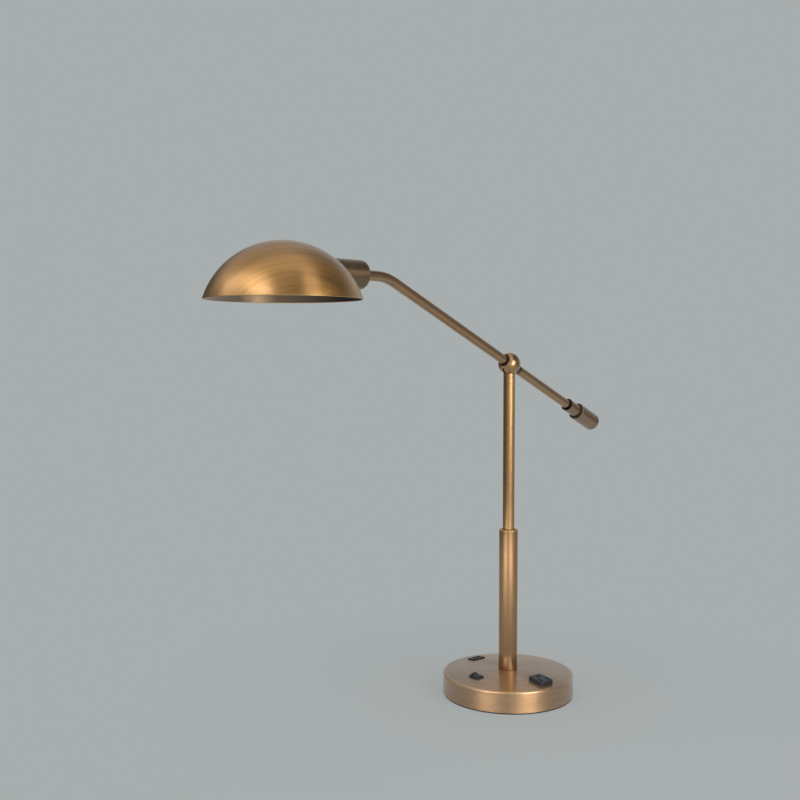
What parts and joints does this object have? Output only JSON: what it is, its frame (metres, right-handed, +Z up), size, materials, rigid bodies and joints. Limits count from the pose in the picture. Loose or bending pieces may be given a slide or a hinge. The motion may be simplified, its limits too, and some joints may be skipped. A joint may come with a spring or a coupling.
{
  "type": "swing arm desk lamp",
  "caption": "Balance-arm desk lamp in antique brass: domed shade, bent arm through a pivot ball, counterweight, two-stage post, round base with outlet, rocker switch and charging port.",
  "frame": {"origin": "middle of the foot's underside, on the axis of the post", "axes": "+Z up along the post; -X towards the shade, +X towards the counterweight; Y across the arm"},
  "size_m": [0.6807, 0.1796, 0.595],
  "materials": {
    "brass_spun": "brushed antique bronze",
    "brass_plain": "bright",
    "steel": "zinc plated",
    "cast_iron": "as cast",
    "black_plastic": "satin",
    "nylon": "satin",
    "pale_nylon": "satin",
    "foam": "matt",
    "board": "circuit board",
    "port_metal": "bright",
    "cap_metal": "satin",
    "bulb_glass": "frosted",
    "filament": "coated"
  },
  "bodies": {
    "base": {"foot_pad": "foam", "base_plate": "steel", "base_screws": "steel", "base_weight": "cast_iron", "base_shell": "brass_spun", "cord_bushing": "nylon", "post_stud": "steel", "post_washer": "steel", "post_nut": "steel", "outlet_housing": "black_plastic", "outlet_contacts": "brass_plain", "usb_housing": "black_plastic", "usb_shell": "port_metal", "usb_tongue": "black_plastic", "usb_charger": "board", "switch_housing": "black_plastic", "switch_terminals": "brass_plain", "lower_tube": "brass_spun", "tube_plug": "steel", "thrust_seat": "steel", "lower_bush": "nylon", "upper_bush": "nylon"},
    "rocker": {"switch_rocker": "black_plastic"},
    "post": {"upper_tube": "brass_spun", "retaining_ring": "steel", "joint_tongue": "steel", "guide_pin": "steel", "ball_seat": "pale_nylon"},
    "arm": {"pivot_ball": "brass_spun", "ball_bushes": "nylon", "ball_screw": "steel", "arm_tube": "brass_spun", "arm_collar": "brass_spun", "collar_ring": "nylon", "weight_washer": "nylon", "counterweight": "brass_spun", "counterweight_screw": "steel", "swivel_plug": "brass_plain", "swivel_ring": "brass_spun", "swivel_stud": "steel", "swivel_washer": "pale_nylon", "swivel_nut": "steel"},
    "head": {"socket_cup": "brass_spun", "lampholder": "black_plastic", "holder_contacts": "brass_plain", "holder_screw": "steel", "shade": "brass_spun", "shade_ring": "brass_spun", "bulb_cap": "cap_metal", "bulb_glass": "bulb_glass", "bulb_stem": "filament"}
  },
  "joints": [
    {"name": "switch_rock", "type": "hinge", "parent": "base", "child": "rocker", "pos_m": [-0.05722, 0.00804, 0.03369], "axis": [0.9869, -0.1387, 0.0826], "range_deg": [-22, 0]},
    {"name": "post_swing", "type": "hinge", "parent": "base", "child": "post", "pos_m": [0, 0, 0.4], "axis": [0, 0, 1], "range_deg": [-165, 165]},
    {"name": "arm_tilt", "type": "hinge", "parent": "post", "child": "arm", "pos_m": [0, 0, 0.456], "axis": [0, 1, 0], "range_deg": [-54, 5]},
    {"name": "head_turn", "type": "hinge", "parent": "arm", "child": "head", "pos_m": [-0.273, 0, 0.5629], "axis": [1, 0, 0], "range_deg": [-90, 90]}
  ]
}
